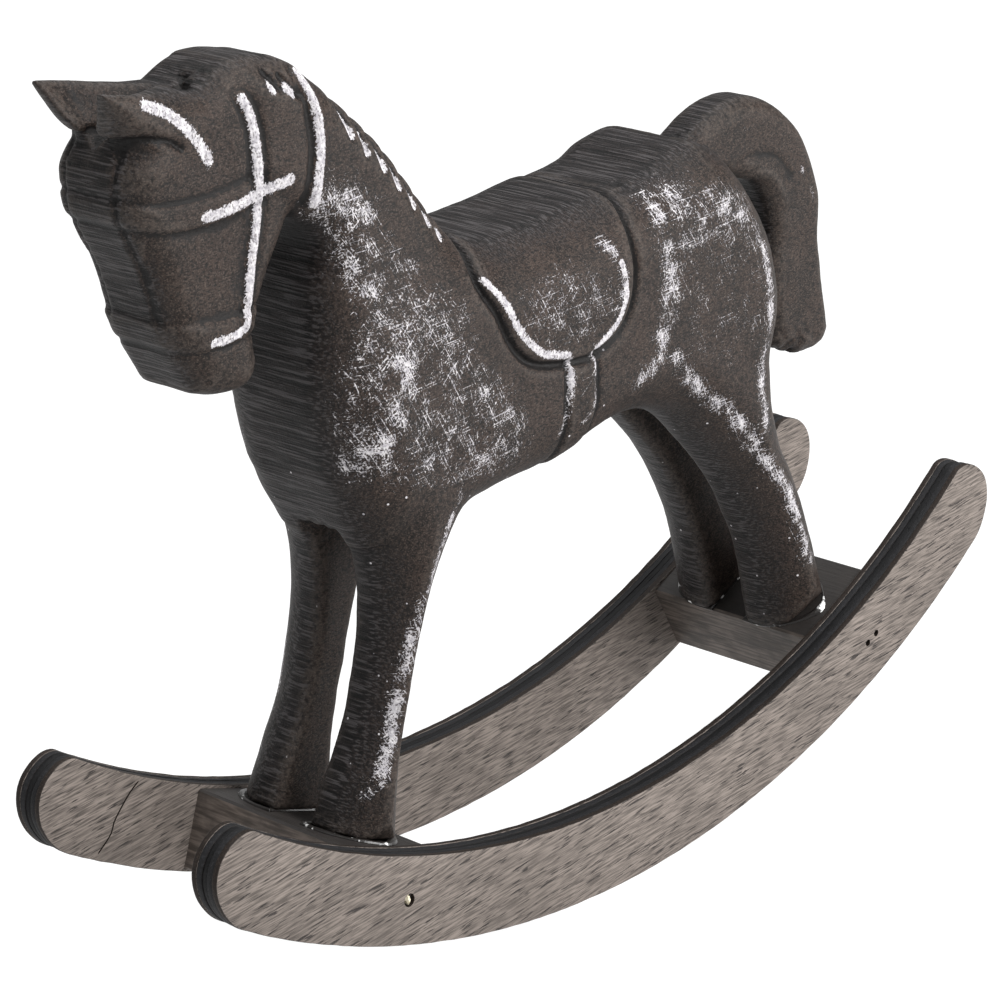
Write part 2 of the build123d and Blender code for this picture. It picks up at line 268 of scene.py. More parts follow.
LOWER_BAND = outline(
    through((-84, 113.6), (-79.8, 112.4), (-73.7, 110.9), (-69.2, 110.4), (-62.8, 110.5), (-57, 110.9)),
    through((-57, 107.5), (-62.5, 106.9), (-66.2, 106.6), (-71.1, 106.4), (-78.2, 107.9), (-84, 109.6)),
)
FACE_PANEL = outline([(-78.5, 125.3), (-73.2, 124.6), (-66, 124.6), (-60.6, 125.4), (-61.6, 118),
                      (-62.8, 111.6), (-69.2, 111.4), (-74.9, 112.4), (-76.9, 119)])
CHEEK_STRAP = through((-60.6, 143.4), (-59.1, 140.7), (-58.3, 136.8), (-57.8, 131.4), (-57.8, 127.6),
                      (-58.3, 123.9), (-59.5, 117.2), (-60.5, 109.2))
CROSS_STROKE = through((-68.6, 126.8), (-63.5, 127.3), (-59.5, 128.2), (-51.8, 129.9))
LOW_STROKE = through((-67.4, 107.5), (-64.1, 107.6), (-60.1, 108.6))
BROW_STROKE = through((-78.8, 145.0), (-74.7, 143.2), (-71.8, 140.7), (-69.2, 138.0), (-67.3, 135.1))
NECK_BAND = through((-48.0, 145.3), (-46.6, 141.6), (-45.6, 136.2), (-45.7, 132.0), (-47.0, 125.4))
SADDLE_FRONT_STROKE = through((-15.8, 108.4), (-12.9, 104.6), (-10.3, 100.2), (-7.2, 96.8), (-3.8, 94.4),
                              (1.6, 93.2))
SADDLE_REAR_STROKE = through((14.1, 106.4), (15.2, 101.8), (14.7, 99.0), (13.3, 96.6), (10.4, 94.4),
                             (8.4, 93.2))
MANE_CUTS = [((-40.6, 141.0), (-38.3, 134.3)), ((-36.3, 136.9), (-35.3, 131.2)),
             ((-33.3, 133.6), (-31.7, 128.2)), ((-29.9, 130.1), (-28.8, 124.9)),
             ((-26.7, 127.0), (-25.9, 121.4)), ((-23.8, 122.9), (-23.0, 118.2)),
             ((-21.0, 119.2), (-20.7, 115.6))]
MANE_NICKS = [((-55.4, 146.2), (-52.9, 143.6)), ((-52.4, 145.3), (-49.3, 142.2))]
TAIL_GROOVE = through((57.5, 113.6), (62, 114.2), (67.5, 113.0), (71.5, 109))
TAIL_RIDGE = through((59.5, 110.2), (64.5, 110.6), (68.2, 108.6), (70.6, 104.5))

# Chipped spots: the (y, z, x) of the middle, the reach and the depth
CHIPS = [((-66.8, 146.0, 2.0), 2.6, 1.6), ((22.5, 116.5, 8.0), 2.2, 0.9), ((45.0, 121.0, 3.5), 3.0, 0.9),
         ((-34.0, 69.0, 0.0), 4.0, 1.0), ((74.0, 76.0, 2.0), 4.5, 0.9), ((81.0, 76.5, -2.0), 4.0, 0.8)]


# ---------------------------------------------------------------- the horse's shape

def sculpt_axes():
    low = np.array((-20.2, -89.5, 15.0))
    high = np.array((20.2, 88.5, 152.0))
    axes = [np.arange(a, b, VOXEL, dtype=np.float32) for a, b in zip(low, high)]
    return low, axes[0][:, None, None], axes[1][None, :, None], axes[2][None, None, :]


def rounded(side_distance, x, half, rim):
    """A board of this half thickness with the rim of its side view rounded over."""
    u = side_distance + rim
    v = np.abs(x) - half + rim
    return np.minimum(np.maximum(u, v), 0) + np.hypot(np.maximum(u, 0), np.maximum(v, 0)) - rim


def carve_relief(y, z, head):
    """How far the carving stands out of the plain shape, in mm, from the side."""
    saddle = area_distance(SADDLE, y, z)
    girth = area_distance(GIRTH, y, z)
    relief = SADDLE_RELIEF * inside_of(saddle, 0.35) - SADDLE_GROOVE * hump(saddle - 0.6, 1.5) * (y > -22)
    strap = GIRTH_RELIEF * inside_of(girth, 0.35) - GIRTH_RELIEF * hump(girth - 0.5, 1.1)
    relief += strap * (saddle > 0.2) * (z < 92.5)
    on_head = inside_of(head - 1, 1.0) * (y < -47)
    bands = np.minimum(area_distance(UPPER_BAND, y, z), area_distance(LOWER_BAND, y, z))
    straps = BAND_RELIEF * inside_of(bands, 0.3) - BAND_RELIEF * hump(bands - 0.4, 0.9)
    panel = area_distance(FACE_PANEL, y, z)
    straps -= PANEL_DEPTH * inside_of(panel, 0.4) + PANEL_EDGE_DEPTH * hump(panel, 0.9)
    cheek = path_distance(CHEEK_STRAP, y, z)
    straps += 0.3 * hump(cheek, 1.8) - 0.35 * hump(cheek - 1.35, 1.0)
    crease = path_distance(EYE_CREASE, y, z)
    straps -= CREASE_DEPTH * hump(crease, 0.95)
    eye = np.hypot((y + 78.2) / 5.2, (z - 135.4) / 3.4)
    brow = path_distance(EYE_CREASE + (1.0, 2.6), y, z)
    straps += EYE_RELIEF * np.exp(-(eye**2)) + 0.3 * hump(brow, 4.0)
    relief = relief + on_head * straps
    band = path_distance(NECK_BAND, y, z)
    groove = path_distance(NECK_BAND + (-1.7, 0.2), y, z)
    relief += (0.45 * hump(band, 2.0) - 0.55 * hump(groove, 1.5)) * (y > -51)
    for top, tip in MANE_CUTS + MANE_NICKS:
        relief -= MANE_CUT_DEPTH * hump(path_distance(np.array([top, tip]), y, z), MANE_CUT_WIDTH)
    return relief


def carve_horse():
    """The horse as a signed distance in mm on a grid of voxels, and the grid's lowest corner."""
    low, x, y, z = sculpt_axes()
    torso = area_distance(TORSO, y, z)
    front_leg = area_distance(FRONT_LEG, y, z)
    hind_leg = area_distance(HIND_LEG, y, z)
    head_side = area_distance(HEAD, y, z)
    neck_side = area_distance(NECK, y, z)
    tail_side = area_distance(TAIL, y, z)
    body_side = melt(melt(torso, front_leg, 3.0), hind_leg, 3.0)
    body = rounded(body_side, x, BOARD_HALF, BOARD_ROUND)
    neck_half = np.interp(z, (85, 98, 112, 126, 150), (15.8, 14.6, 12.5, 10.4, 9.5))
    neck = rounded(neck_side, x, neck_half, neck_half - np.interp(z, (85, 112, 150), (6.0, 5.2, 4.0)))
    horse = melt(body, neck, 5.0)
    ear_share = np.clip((-72 - y) / 6, 0, 1)
    ear_round = np.interp(z, (134, 138, 140, 144, 147.5), (5.2, 7.2, 6.4, 3.8, 1.4))
    head = rounded(head_side, x, HEAD_HALF, HEAD_ROUND + (ear_round - HEAD_ROUND) * ear_share)
    horse = melt(horse, head, 1.6)
    ear_floor = EAR_SLOT_FLOOR + 0.80 * np.maximum(y + 80, 0) + 0.3 * np.maximum(-81 - y, 0)
    ear_slot = (np.abs(x) - EAR_SLOT_SLOPE * (z - ear_floor)) * EAR_SLOT_TRUTH
    horse = cut_away(horse, ear_slot, 0.7)
    tail = rounded(tail_side, x, TAIL_HALF, TAIL_ROUND)
    tail = tail + 0.3 * hump(path_distance(TAIL_GROOVE, y, z), 1.6)
    tail = tail - 0.3 * hump(path_distance(TAIL_RIDGE, y, z), 1.6)
    horse = melt(horse, tail, 1.0)
    gap_side = area_distance(LEG_GAP, y, z)
    gap = np.maximum(np.abs(x) - LEG_GAP_HALF, gap_side)
    horse = cut_away(horse, gap, 2.2)
    horse = horse - carve_relief(y, z, head_side)
    cheek_edge = np.hypot(np.abs(x) - FACE_EDGE_X, head_side + 0.4)
    on_face = (y < -66) * inside_of(np.abs(z - 124.5) - 14.5, 1.0)
    shape = horse.shape
    rough = soft_noise(shape, 2.4, 11)
    horse += on_face * hump(cheek_edge, 1.0 + 0.5 * rough) * 0.55
    for (cy, cz, cx), reach, depth in CHIPS:
        away = np.sqrt((x - cx) ** 2 + (y - cy) ** 2 + (z - cz) ** 2)
        horse += depth * hump(away, 2 * reach) * np.maximum(rough + 0.35, 0)
    horse += 0.09 * soft_noise(shape, 9.0, 5) + 0.035 * rough
    for block_y in (FRONT_BLOCK_Y, REAR_BLOCK_Y):
        slope = block_y / DECK_RADIUS
        near_block = np.abs(y - block_y) < 20
        level = sqrt(1 - slope * slope)
        deck_z = ROCKER_RADIUS - DECK_RADIUS * level
        above = (z - deck_z) * level - (y - block_y) * slope
        horse = np.where(near_block, np.maximum(horse, GLUE_THICKNESS - above), horse)
    return low, horse.astype(np.float32)


def new_piece(name, points, faces, smooth=True):
    """A mesh object from points in the part's metres."""
    mesh = bpy.data.meshes.new(name)
    mesh.from_pydata([tuple(p) for p in points], [], [tuple(f) for f in faces])
    mesh.validate()
    mesh.polygons.foreach_set("use_smooth", [smooth] * len(mesh.polygons))
    piece = bpy.data.objects.new(name, mesh)
    bpy.context.scene.collection.objects.link(piece)
    return piece


def settled(points):
    """Drawing millimetres to the part's metres."""
    points = np.asarray(points, float)
    turn = np.array(SETTLE.to_3x3())
    return (points @ turn.T + np.array(SETTLE.translation)) * MM


def drawn(points):
    """The part's metres back to drawing millimetres."""
    turn = np.array(SETTLE.to_3x3())
    return (np.asarray(points, float) / MM - np.array(SETTLE.translation)) @ turn


def mesh_horse():
    low, distance = carve_horse()
    # Bulge against the surroundings: above 0 on edges, which rub lighter, below 0 in hollows and cuts, which
    # get painted shade
    wear_and_hollow_shade = blurred(distance, 4) - distance
    grid = openvdb.FloatGrid(3.0)
    grid.copyFromArray(np.clip(distance, -3, 3))
    points, triangles, quads = grid.convertToPolygons(isovalue=0.0, adaptivity=0.0)
    faces = quads.tolist() + triangles.tolist()
    piece = new_piece("carved_horse", settled(points * VOXEL + low), faces)
    triangle_count = sum(len(p.vertices) - 2 for p in piece.data.polygons)
    if triangle_count > MOST_TRIANGLES:
        thin = piece.modifiers.new("thin", "DECIMATE")
        thin.ratio = MOST_TRIANGLES / triangle_count
        bpy.context.view_layer.update()
        lighter = bpy.data.meshes.new_from_object(piece.evaluated_get(bpy.context.evaluated_depsgraph_get()))
        piece.modifiers.clear()
        piece.data = lighter
        lighter.name = "carved_horse"
    place = np.empty(len(piece.data.vertices) * 3)
    piece.data.vertices.foreach_get("co", place)
    where = drawn(place.reshape(-1, 3))
    cell = np.clip(np.rint((where - low) / VOXEL).astype(int), 0, np.array(distance.shape) - 1)
    keep(piece, "wear_and_hollow_shade", wear_and_hollow_shade[cell[:, 0], cell[:, 1], cell[:, 2]])
    return piece, where


def keep(piece, name, values):
    """Stores one value per vertex for the finish to read."""
    layer = piece.data.attributes.new(name, "FLOAT", "POINT")
    layer.data.foreach_set("value", np.asarray(values, np.float32))


# ---------------------------------------------------------------- where the paint is brushed on

STROKES = [
    (CHEEK_STRAP, 1.55), (CROSS_STROKE, 1.6), (LOW_STROKE, 1.3), (BROW_STROKE, 1.6), (NECK_BAND, 1.55),
    (SADDLE_FRONT_STROKE, 1.2), (SADDLE_REAR_STROKE, 1.0),
    (np.array([(-55.2, 144.6), (-54.6, 143.6)]), 1.1), (np.array([(-51.6, 143.6), (-50.3, 142.6)]), 1.3),
]
for top, tip in np.array(MANE_CUTS):
    STROKES += [(np.array([tip + 0.5 * (top - tip), tip]), 0.55),
                (np.array([tip + 0.14 * (top - tip), tip]), 1.25)]

# Areas scrubbed with a dry brush: an outline and how much paint it took
SCRUBBED = [
    ([(-44.6, 129.9), (-39.0, 126.5), (-35.2, 121.7), (-29.5, 114.3), (-20.1, 106.2), (-18.3, 97.0),
      (-14.1, 92.7), (-7.8, 86.6), (-6.0, 81.2), (-6.6, 77.0), (-13.4, 75.6), (-27.0, 76.7),
      (-40.1, 79.4), (-47.2, 84.6), (-45.1, 98.4), (-42.2, 106.2), (-42.8, 112.6), (-45.4, 119.4),
      (-47.5, 126.2)], 0.72),
    ([(-10.5, 104.6), (-5.0, 108.0), (3.0, 108.9), (7.0, 107.6), (12.4, 104.4), (12.6, 98.7), (7.5, 94.6),
      (-3.5, 94.8), (-7.4, 98.3)], 0.68),
    ([(27.8, 116.6), (34, 115.6), (40.6, 113.6), (47.6, 109.0), (44, 105), (35, 105.5), (31, 104),
      (27, 104)], 0.85),
    ([(30, 104), (48, 106), (53, 98), (51, 86), (42, 82), (30, 86)], 0.5),
    ([(2.2, 92), (8.4, 92), (8, 83), (2, 80)], 0.35),
    ([(-62, 140.5), (-60, 135), (-63.8, 134.4), (-65.4, 139)], 0.30),
    ([(-54.6, 138.4), (-51.3, 138), (-51.5, 134.2), (-54, 134)], 0.32),
]

# Single dry strokes: a path, its width and how much paint it took
BRUSHED = [
    (through((-40.9, 125.0), (-40.4, 120.2), (-39.6, 114.6), (-39.2, 110.6)), 8, 0.92),
    (through((-45.3, 122.8), (-41.4, 124.4), (-36.8, 122.0)), 8, 1.0),
    (np.array([(-31.6, 111.6), (-29, 112.6)]), 5, 0.75),
    (through((-35.5, 101.6), (-35.5, 96.4), (-37.2, 91.0), (-39.4, 86.6), (-43.6, 83.4)), 9.5, 0.98),
    (through((-42.6, 95), (-44.5, 88), (-45.6, 82.6)), 5, 0.7),
    (through((-25.4, 101.6), (-24.8, 97), (-23.8, 93.4)), 4.5, 0.82),
    (through((-35, 103.6), (-29, 104.6), (-23, 104)), 3.6, 0.72),
    (through((-18.6, 92), (-12.2, 88.6), (-9.8, 84.2)), 6.5, 0.84),
    (through((-19.6, 79.2), (-15.6, 80.6), (-9.8, 80.4)), 6, 0.86),
    (np.array([(-26, 89.4), (-24.4, 86.2)]), 3.2, 0.75),
    (through((-2.4, 97.2), (1, 96.6), (6.4, 97.6)), 4.5, 0.74),
    (through((-1.6, 103), (2.6, 102.4), (7, 104.4)), 4.5, 0.66),
    (through((11.2, 109.9), (13.2, 107.0), (14.4, 103.0), (13.6, 98.0)), 3.2, 0.95),
    (through((2.3, 92.2), (2.5, 88.6), (2.3, 84.1), (0.6, 79.6)), 1.6, 1.25),
    (through((8.0, 93.6), (8.5, 87.3), (7.9, 83.4), (5.5, 80.8)), 1.6, 1.15),
    (through((25.0, 113.5), (25.4, 108.1), (27.4, 102.1), (26.7, 96.2), (24.8, 92.2)), 7.0, 1.0),
    (through((25.0, 92.2), (23.9, 88.5), (19.8, 85.2)), 5.0, 1.0),
    (through((29.4, 113.6), (34, 112.2), (40, 110.8), (46, 108.6)), 8.0, 1.05),
    (np.array([(33.4, 107.4), (45.6, 105.2)]), 4.5, 0.9),
    (through((33.4, 110.3), (32.0, 106.0), (30.5, 103.4)), 4, 0.85),
    (through((46.6, 108.6), (50.6, 102.4), (52.6, 95.7), (52.6, 88.2), (51.2, 80.9), (51.6, 73.5),
             (52.0, 69)), 4.2, 1.0),
    (through((45.4, 106), (48.5, 102), (49.6, 96)), 3.6, 0.62),
    (through((28.6, 87.2), (33.5, 81.9), (38.6, 78), (43.2, 74.6), (50.6, 66.8), (58.6, 57.8),
             (62.4, 50.6), (66, 42)), 3.6, 1.1),
    (through((-22.4, 75.0), (-26.4, 66.1), (-29.5, 58.2), (-31.6, 50.7), (-33.4, 43.9), (-35.6, 36.2),
             (-38.2, 29.6)), 2.3, 1.1),
    (np.array([(-38.4, 31), (-40.4, 27.4)]), 2.2, 0.7),
    (np.array([(58.2, 119.9), (61.4, 119.5)]), 1.4, 0.6),
    (np.array([(74.6, 109.9), (75.4, 108.6)]), 1.3, 0.9),
    (np.array([(77.3, 106.2), (77.9, 104.6)]), 1.3, 0.9),
    (np.array([(-44.9, 131), (-43.2, 130)]), 2.2, 0.55),
]


def brush_paint(piece, where):
    """Stores how near each vertex lies to a painted line, and how much of the dry brush reached it."""
    x, y, z = where.T
    normals = np.empty(len(piece.data.vertices) * 3)
    piece.data.vertices.foreach_get("normal", normals)
    outward = normals.reshape(-1, 3)[:, 0] * np.sign(x)
    faces_out = np.clip((outward - 0.15) / 0.4, 0, 1)
    line = np.full(len(x), -1.0)
    for path, width in STROKES:
        line = np.maximum(line, 1 - 2 * path_distance(path, y, z) / width)
    dry = np.zeros(len(x))
    for path, width, strength in BRUSHED:
        reach = 2 * path_distance(path, y, z) / width
        dry = np.maximum(dry, strength * np.exp(-0.9 * reach * reach))
    for area, strength in SCRUBBED:
        dry = np.maximum(dry, strength * inside_of(area_distance(np.array(area), y, z), 1.6))
    keep(piece, "line", np.where(faces_out > 0.7, np.clip(line, -1, 1), -1))
    keep(piece, "dry_brush", dry * faces_out)
    keep(piece, "splatter", np.clip(1.3 - np.abs(z - 52) / 36, 0, 1) * np.clip((outward + 0.6) / 0.8, 0, 1))
    keep(piece, "sawn", np.clip(1.25 - 1.6 * np.abs(outward), 0, 1))


# ---------------------------------------------------------------- finishes

class Shade:
    """An output of a finish's nodes, whose arithmetic adds Math nodes."""

    def __init__(self, finish, socket):
        self.finish = finish
        self.socket = socket

    def math(self, operation, *values):
        return self.finish.node("ShaderNodeMath", {"operation": operation}, *values)

    def __add__(self, other):
        return self.math("ADD", self, other)

    def __sub__(self, other):
        return self.math("SUBTRACT", self, other)

    def __rsub__(self, other):
        return self.math("SUBTRACT", other, self)

    def __mul__(self, other):
        return self.math("MULTIPLY", self, other)

    __radd__ = __add__
    __rmul__ = __mul__

    def most(self, other):
        return self.math("MAXIMUM", self, other)

    def ramp(self, low, high, start=0.0, end=1.0):
        """start below low, end above high, and smooth between."""
        settings = {"interpolation_type": "SMOOTHSTEP"}
        return self.finish.node("ShaderNodeMapRange", settings, self, low, high, start, end)


class Finish:
    """A material that is built up node by node."""

    def __init__(self, name):
        self.material = bpy.data.materials.new(name)
        self.material.use_nodes = True
        self.tree = self.material.node_tree
        self.shader = self.tree.nodes["Principled BSDF"]
        self.place = self.node("ShaderNodeTexCoord", output="Object")

    def node(self, kind, settings=None, *values, output=0, **named):
        node = self.tree.nodes.new(kind)
        for name, value in (settings or {}).items():
            setattr(node, name, value)
        for key, value in list(enumerate(values)) + list(named.items()):
            self.join(value, node.inputs[key])
        return Shade(self, node.outputs[output])

    def join(self, value, socket):
        if isinstance(value, Shade):
            self.tree.links.new(value.socket, socket)
        else:
            socket.default_value = value

    def attribute(self, name):
        return self.node("ShaderNodeAttribute", {"attribute_name": name}, output="Fac")

    def noise(self, size, detail=3.0, stretch=(1, 1, 1), turn=0.0, seed=0.0):
        """Noise with features of this size in mm, drawn out by stretch, and turned about X."""
        turned = self.node("ShaderNodeVectorRotate", {"rotation_type": "X_AXIS"}, self.place,
                           Angle=radians(turn))
        scale = [1 / (MM * size * s) for s in stretch]
        spread = self.node("ShaderNodeVectorMath", {"operation": "MULTIPLY_ADD"}, turned, scale, [seed] * 3)
        return self.node("ShaderNodeTexNoise", None, spread, Scale=1.0, Detail=detail)

    def dots(self, size, seed=0.0):
        """Distance to the nearest of many dots, one to a cell of this size in mm, and the cell's value."""
        spread = self.node("ShaderNodeVectorMath", {"operation": "MULTIPLY_ADD"}, self.place,
                           [1 / (MM * size)] * 3, [seed] * 3)
        cells = self.node("ShaderNodeTexVoronoi", None, spread, Scale=1.0)
        value = self.node("ShaderNodeSeparateColor", None, Shade(self, cells.socket.node.outputs["Color"]))
        return cells, value

    def mix(self, factor, a, b):
        """Colour a blended towards colour b, through the Mix node's colour sockets."""
        node = self.tree.nodes.new("ShaderNodeMix")
        node.data_type = "RGBA"
        self.join(factor, node.inputs[0])
        for index, colour in ((6, a), (7, b)):
            self.join(colour if isinstance(colour, Shade) else (*colour, 1.0), node.inputs[index])
        return Shade(self, node.outputs[2])

    def facing(self):
        """How squarely the surface faces sideways, from 0 to 1."""
        normal = self.node("ShaderNodeTexCoord", output="Normal")
        split = self.node("ShaderNodeSeparateXYZ", None, normal)
        return split.math("ABSOLUTE", split)

    def done(self, colour, roughness, height=None, depth=0.1, **constants):
        """Joins the colour, roughness and bump height, in mm, to the shader."""
        self.join(colour, self.shader.inputs["Base Color"])
        self.join(roughness, self.shader.inputs["Roughness"])
        if height is not None:
            bump = self.node("ShaderNodeBump", None, Strength=1.0, Distance=depth * MM, Height=height)
            self.join(bump, self.shader.inputs["Normal"])
        for name, value in constants.items():
            self.shader.inputs[name.replace("_", " ")].default_value = value
        return self.material


def horse_finish():
    """Dark-stained wood with painted shade in its hollows, worn on its edges and dry-brushed with white."""
    f = Finish("dry-brushed dark stain")
    sawn = f.attribute("sawn")
    wear_and_hollow_shade = f.attribute("wear_and_hollow_shade")
    cloud = f.noise(7.0, 4.0)
    fine = f.noise(0.8, 4.0, seed=3.0)
    grain = f.noise(0.26, 2.0, seed=7.0)
    pores = f.noise(0.28, 2.0, (1, 2.5, 1), seed=6.0)
    saw = f.noise(0.34, 2.0, (34, 1, 1), seed=5.0)
    stain_and_hollow_shade = f.mix(cloud.ramp(0.3, 0.7), (0.008, 0.0055, 0.0046), (0.0205, 0.0128, 0.0098))
    stain_and_hollow_shade = f.mix(fine.ramp(0.42, 0.68) * 0.6, stain_and_hollow_shade, (0.042, 0.029, 0.023))
    stain_and_hollow_shade = f.mix(grain.ramp(0.52, 0.64) * 0.65, stain_and_hollow_shade, (0.068, 0.051, 0.042))
    stain_and_hollow_shade = f.mix(pores.ramp(0.50, 0.38) * 0.85, stain_and_hollow_shade, (0.0025, 0.0022, 0.002))
    stain_and_hollow_shade = f.mix(sawn * 0.7, stain_and_hollow_shade, (0.0085, 0.008, 0.009))
    stain_and_hollow_shade = f.mix(sawn * saw.ramp(0.52, 0.62) * 0.75, stain_and_hollow_shade, (0.062, 0.057, 0.058))
    stain_and_hollow_shade = f.mix(sawn * saw.ramp(0.48, 0.38) * 0.9, stain_and_hollow_shade, (0.0015, 0.0015, 0.0015))
    stain_and_hollow_shade = f.mix(wear_and_hollow_shade.ramp(0.06, 0.3) * fine.ramp(0.3, 0.6) * 0.35, stain_and_hollow_shade, (0.07, 0.058, 0.05))
    # Painted shade: the hollows and carved cuts darkened towards black
    stain_and_hollow_shade = f.mix(wear_and_hollow_shade.ramp(-0.02, -0.18) * 0.9, stain_and_hollow_shade, (0.004, 0.0035, 0.0035))
    level = f.noise(0.17, 1.0, (9, 40, 1), -4, 1.0)
    steep = f.noise(0.17, 1.0, (9, 40, 1), 62, 2.0)
    falling = f.noise(0.17, 1.5, (9, 16, 1), -40, 4.0)
    upright = f.noise(0.17, 1.5, (9, 16, 1), 84, 5.0)
    scratch = level.most(steep).most(falling).most(upright)
    grit = f.noise(0.32, 4.0, seed=8.0)
    patch = f.noise(3.0, 3.0, seed=9.0)
    dry = f.attribute("dry_brush")
    amount = dry * (patch.ramp(0.3, 0.7) * 0.6 + 0.62)
    brushed = (scratch * 0.60 + grit * 0.42 + amount * 0.21).ramp(0.735, 0.83)
    brushed = brushed * dry.ramp(0.05, 0.3)
    ragged = f.attribute("line") + grit * 1.5 + falling * 0.7 + patch * 0.4
    solid = ragged.ramp(1.08, 1.36) * (grit + upright * 0.6).ramp(0.60, 0.80, 0.35, 1.0)
    near, chance = f.dots(1.5, 4.0)
    drop = near.ramp(0.16, 0.11) * chance.ramp(0.925, 0.93) * f.attribute("splatter").ramp(0.05, 0.3)
    paint = brushed.most(solid).most(drop)
    colour = f.mix(paint, stain_and_hollow_shade, f.mix(fine.ramp(0.35, 0.65), (0.34, 0.325, 0.345), (0.54, 0.52, 0.53)))
    roughness = 0.50 + fine * 0.15 + paint * 0.25
    height = fine * 0.4 + pores * 0.5 + sawn * saw * 1.4 + paint * 0.35
    return f.done(colour, roughness, height, 0.16, Specular_IOR_Level=0.2)


def ply_finish(name, face_colour, edge_colour, worn_rim):
    """Weathered veneer on the flats and scorched end grain round the edge."""
    f = Finish(name)
    flat = f.facing().ramp(0.80, 0.97)
    rim = f.facing().ramp(0.25, 0.6)
    grain = f.noise(0.30, 4.0, (1, 16, 1), -5.0)
    streak = f.noise(0.34, 2.0, (1, 12, 1), -7.0, 6.0)
    cloud = f.noise(9.0, 4.0, (1, 2, 1), seed=2.0)
    fine = f.noise(0.35, 3.0, seed=7.0)
    shaded = [c * 0.5 for c in face_colour]
    bleached = [c * 1.35 for c in face_colour]
    veneer = f.mix(grain.ramp(0.32, 0.68), shaded, bleached)
    veneer = f.mix(cloud.ramp(0.4, 0.75) * 0.4, veneer, shaded)
    veneer = f.mix(streak.ramp(0.585, 0.65) * 0.85, veneer, (0.026, 0.022, 0.021))
    edge = f.mix(fine.ramp(0.45, 0.8), edge_colour, [c * 2.6 for c in edge_colour])
    light = f.mix(fine, (0.14, 0.125, 0.115), (0.34, 0.31, 0.28))
    edge = f.mix(rim * fine.ramp(0.3, 0.55) * worn_rim, edge, light)
    colour = f.mix(flat, edge, veneer)
    height = grain * 0.7 + streak.ramp(0.62, 0.75) * -1.2 + fine * 0.25
    return f.done(colour, 0.6 + fine * 0.2, height, 0.1, Specular_IOR_Level=0.2)


def block_finish():
    f = Finish("stained block")
    grain = f.noise(0.5, 4.0, (12, 1, 1))
    cloud = f.noise(5.0, 4.0, seed=3.0)
    normal = f.node("ShaderNodeTexCoord", output="Normal")
    split = f.node("ShaderNodeSeparateXYZ", None, normal)
    up = Shade(f, split.socket.node.outputs["Z"]).ramp(0.4, 0.8)
    face = f.mix(grain.ramp(0.3, 0.7), (0.045, 0.036, 0.03), (0.13, 0.105, 0.09))
    face = f.mix(cloud.ramp(0.4, 0.65) * 0.6, face, (0.03, 0.025, 0.022))
    colour = f.mix(up, face, f.mix(cloud, (0.007, 0.006, 0.006), (0.03, 0.025, 0.022)))
    return f.done(colour, 0.5 + cloud * 0.2, grain + cloud, 0.12, Specular_IOR_Level=0.35)


def glue_finish():
    f = Finish("dried glue")
    cloud = f.noise(2.6, 3.0, seed=1.0)
    fine = f.noise(0.4, 2.0)
    white = cloud.ramp(0.60, 0.65)
    colour = f.mix(white, (0.012, 0.010, 0.009), f.mix(fine, (0.6, 0.6, 0.6), (0.85, 0.85, 0.84)))
    return f.done(colour, 0.35 + white * 0.2, fine, 0.05)


def plain_finish(name, dark, light, metallic=0.0, roughness=0.5):
    f = Finish(name)
    cloud = f.noise(0.6, 4.0)
    return f.done(f.mix(cloud.ramp(0.3, 0.7), dark, light), roughness + cloud * 0.2, cloud, 0.04,
                  Metallic=metallic)


# ---------------------------------------------------------------- rockers

def rocker_point(radius, angle):
    """The (y, z) of a point on the rockers' circle, angle in degrees from straight down."""
    return (radius * sin(radians(angle)), ROCKER_RADIUS - radius * cos(radians(angle)))


def round_end(leaving, tip, entering, count=14):
    """A curve that leaves one arc, passes through the tip and enters the other arc, both without a corner."""
    start, stop = leaving[1], entering[0]
    tip = np.array(tip)
    first, second = np.linalg.norm(tip - start), np.linalg.norm(stop - tip)
    go = (leaving[1] - leaving[0]) / np.linalg.norm(leaving[1] - leaving[0])
    come = (entering[1] - entering[0]) / np.linalg.norm(entering[1] - entering[0])
    pull = 3 * ((tip - start) / first**2 + (stop - tip) / second**2) - go / first - come / second
    turn = pull / (2 / first + 2 / second)
    run = []
    for a, b, m, n, reach in ((start, tip, go, turn, first), (tip, stop, turn, come, second)):
        for t in np.arange(count) / count:
            run.append((1 + 2 * t) * (1 - t) ** 2 * a + t * t * (3 - 2 * t) * b
                       + reach * t * (1 - t) * ((1 - t) * m - t * n))
    return np.array(run[1:])


def rocker_outline():
    """The side view of a rocker as points about 0.8 mm apart."""
    top = ROCKER_RADIUS - ROCKER_DEPTH
    tip = top + TIP_DEPTH_SHARE * ROCKER_DEPTH
    top_angles = np.linspace(-FRONT_END_ANGLE, REAR_END_ANGLE, 240)
    bottom_angles = np.linspace(REAR_END_ANGLE - END_RUN_IN_ANGLE, END_RUN_IN_ANGLE - FRONT_END_ANGLE, 240)
    top_run = np.array([rocker_point(top, angle) for angle in top_angles])
    bottom_run = np.array([rocker_point(ROCKER_RADIUS, angle) for angle in bottom_angles])
    rear = round_end(top_run[-2:], rocker_point(tip, REAR_END_ANGLE + END_BULGE_ANGLE), bottom_run[:2])
    front = round_end(bottom_run[-2:], rocker_point(tip, -FRONT_END_ANGLE - END_BULGE_ANGLE), top_run[:2])
    return np.vstack([top_run, rear, bottom_run, front])


def inward(points):
    """The unit direction into a closed outline at each of its points."""
    step = np.roll(points, -1, 0) - np.roll(points, 1, 0)
    step /= np.linalg.norm(step, axis=1)[:, None]
    middle = points.mean(0)
    turned = np.stack([-step[:, 1], step[:, 0]], 1)
    area = np.sum(points[:, 0] * np.roll(points[:, 1], -1) - np.roll(points[:, 0], -1) * points[:, 1])
    return turned if area > 0 else -turned


